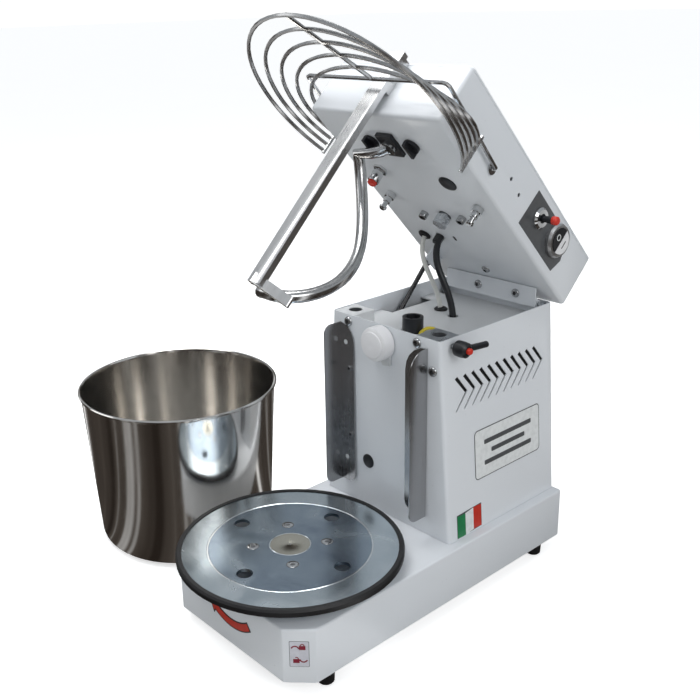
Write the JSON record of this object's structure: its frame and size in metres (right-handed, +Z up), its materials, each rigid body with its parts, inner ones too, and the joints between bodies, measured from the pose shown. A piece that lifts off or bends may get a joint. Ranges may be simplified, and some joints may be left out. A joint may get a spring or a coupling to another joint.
{
  "type": "spiral dough mixer",
  "caption": "Countertop tilt-head spiral dough mixer, head raised: driven bowl turntable, spiral hook, dough bar, wire bowl guard, and a loose bowl beside it.",
  "frame": {"origin": "on the floor, under the turntable's axis", "axes": "+Z up, the turntable end faces -Y, and the louvred side with the switches is +X"},
  "size_m": [0.5706, 0.5834, 0.7185],
  "materials": {
    "white_paint": "gloss white paint",
    "stainless": "polished stainless steel",
    "zinc": "bright zinc-plated steel",
    "chrome": "bright chrome",
    "dark_steel": "machined steel",
    "black_steel": "black painted and nitrided steel",
    "cast_grey": "as cast",
    "black_rubber": "matt",
    "black_plastic": "matt",
    "white_plastic": "satin",
    "red_plastic": "gloss",
    "gold_zinc": "yellow passivated"
  },
  "bodies": {
    "stand": {"base_shell": "white_paint", "base_plate": "zinc", "foot_front_left": "black_rubber", "foot_front_right": "black_rubber", "foot_rear_left": "black_rubber", "foot_rear_right": "black_rubber", "turntable_bearing": "dark_steel", "drive_motor": "cast_grey", "base_chain": "dark_steel", "column_shell": "white_paint", "column_deck": "white_paint", "pin_socket_left": "white_plastic", "pin_socket_right": "zinc", "bowl_guard_left": "stainless", "bowl_guard_right": "stainless", "roller_axle": "zinc", "strut_anchor": "zinc", "hinge_pin": "dark_steel", "power_conduit": "black_plastic", "signal_cable": "white_plastic"},
    "roller": {"rim_roller": "white_plastic"},
    "motor_drive": {"motor_shaft": "dark_steel", "motor_pinion": "dark_steel", "drive_socket": "black_plastic"},
    "turntable": {"turntable_shaft": "dark_steel", "turntable_disc": "zinc", "turntable_rim": "black_rubber", "turntable_sprocket": "dark_steel"},
    "strut_lower": {"strut_cylinder": "black_steel"},
    "strut_upper": {"strut_rod": "black_steel"},
    "lever": {"lock_lever": "black_plastic"},
    "stud": {"lock_stud": "zinc"},
    "lever_button": {"lock_button": "red_plastic"},
    "head": {"head_tray": "white_paint", "head_lid": "white_paint", "hinge_strap": "white_paint", "strut_bracket": "white_paint", "locating_pin_left": "chrome", "locating_pin_right": "chrome", "coupling_bearing": "cast_grey", "spiral_bearing": "cast_grey", "spiral_flange": "black_plastic", "head_chain": "dark_steel", "dough_bar": "stainless", "switch_bezel": "white_plastic", "toggle_collar": "chrome", "guard_bushing_left": "black_plastic", "guard_bushing_right": "black_plastic", "clamp_knob_left": "black_plastic", "clamp_knob_right": "black_plastic"},
    "coupling": {"coupling_shaft": "dark_steel", "coupling_sprocket": "dark_steel"},
    "spiral": {"spiral_hook": "stainless", "spiral_sprocket": "dark_steel"},
    "plunger": {"interlock_plunger": "chrome"},
    "off_button": {"switch_button_off": "black_plastic"},
    "on_button": {"switch_button_on": "white_plastic"},
    "toggle": {"toggle_lever": "black_plastic"},
    "guard": {"wire_guard": "stainless"},
    "bowl": {"bowl": "stainless"}
  },
  "joints": [
    {"name": "head_tilt", "type": "hinge", "parent": "stand", "child": "head", "pos_m": [0, 0.3738, 0.345], "axis": [1, 0, 0], "range_deg": [0, 46.2], "deforming": ["power_conduit", "signal_cable"]},
    {"name": "guard_tilt", "type": "hinge", "parent": "head", "child": "guard", "pos_m": [0, 0.22958, 0.54379], "axis": [-1, 0, 0], "range_deg": [0, 80]},
    {"name": "turntable_spin", "type": "hinge", "parent": "stand", "child": "turntable", "pos_m": [0, 0, 0.1], "axis": [0, 0, 1], "continuous": true},
    {"name": "motor_spin", "type": "hinge", "parent": "stand", "child": "motor_drive", "pos_m": [0, 0.2145, 0.2], "axis": [0, 0, 1], "continuous": true},
    {"name": "spiral_spin", "type": "hinge", "parent": "head", "child": "spiral", "pos_m": [0, 0.17496, 0.56969], "axis": [0, 0.7218, 0.6921], "continuous": true},
    {"name": "coupling_spin", "type": "hinge", "parent": "head", "child": "coupling", "pos_m": [0, 0.2722, 0.46828], "axis": [0, 0.7218, 0.6921], "continuous": true},
    {"name": "roller_spin", "type": "hinge", "parent": "stand", "child": "roller", "pos_m": [-0.002, 0.15, 0.327], "axis": [0, 1, 0], "continuous": true},
    {"name": "strut_swing", "type": "hinge", "parent": "stand", "child": "strut_lower", "pos_m": [-0.0815, 0.185, 0.2227], "axis": [1, 0, 0], "range_deg": [-6.2, 0]},
    {"name": "strut_stroke", "type": "slide", "parent": "strut_lower", "child": "strut_upper", "axis": [0, 0.6777, 0.7354], "range_m": [-0.0395, 0]},
    {"name": "lock_turn", "type": "hinge", "parent": "stand", "child": "lever", "pos_m": [0.1, 0.183, 0.339], "axis": [-1, 0, 0], "range_deg": [0, 90]},
    {"name": "stud_travel", "type": "slide", "parent": "stand", "child": "stud", "axis": [-1, 0, 0], "range_m": [0, 0.002]},
    {"name": "lever_press", "type": "slide", "parent": "lever", "child": "lever_button", "axis": [-1, 0, 0], "range_m": [0, 0.002], "stiffness_N_per_m": 300},
    {"name": "plunger_press", "type": "slide", "parent": "head", "child": "plunger", "axis": [0, 0.7218, 0.6921], "range_m": [0, 0.005], "stiffness_N_per_m": 300},
    {"name": "off_press", "type": "slide", "parent": "head", "child": "off_button", "axis": [-1, 0, 0], "range_m": [0, 0.002], "stiffness_N_per_m": 300},
    {"name": "on_press", "type": "slide", "parent": "head", "child": "on_button", "axis": [-1, 0, 0], "range_m": [0, 0.002], "stiffness_N_per_m": 300},
    {"name": "toggle_tilt", "type": "hinge", "parent": "head", "child": "toggle", "pos_m": [0.0985, 0.32637, 0.47104], "axis": [0, 0.7218, 0.6921], "range_deg": [-10, 10]},
    {"name": "bowl_lift", "type": "slide", "parent": "stand", "child": "bowl", "axis": [0, 0, 1], "range_m": [0, 0.3]}
  ],
  "couplings": [
    {"joint": "motor_spin", "follows": "turntable_spin", "ratio": 3},
    {"joint": "coupling_spin", "follows": "spiral_spin", "ratio": 2},
    {"joint": "strut_swing", "follows": "head_tilt", "ratio": -0.1277},
    {"joint": "strut_stroke", "follows": "head_tilt", "m_per_rad": -0.048},
    {"joint": "stud_travel", "follows": "lock_turn", "m_per_rad": 0.001146}
  ]
}
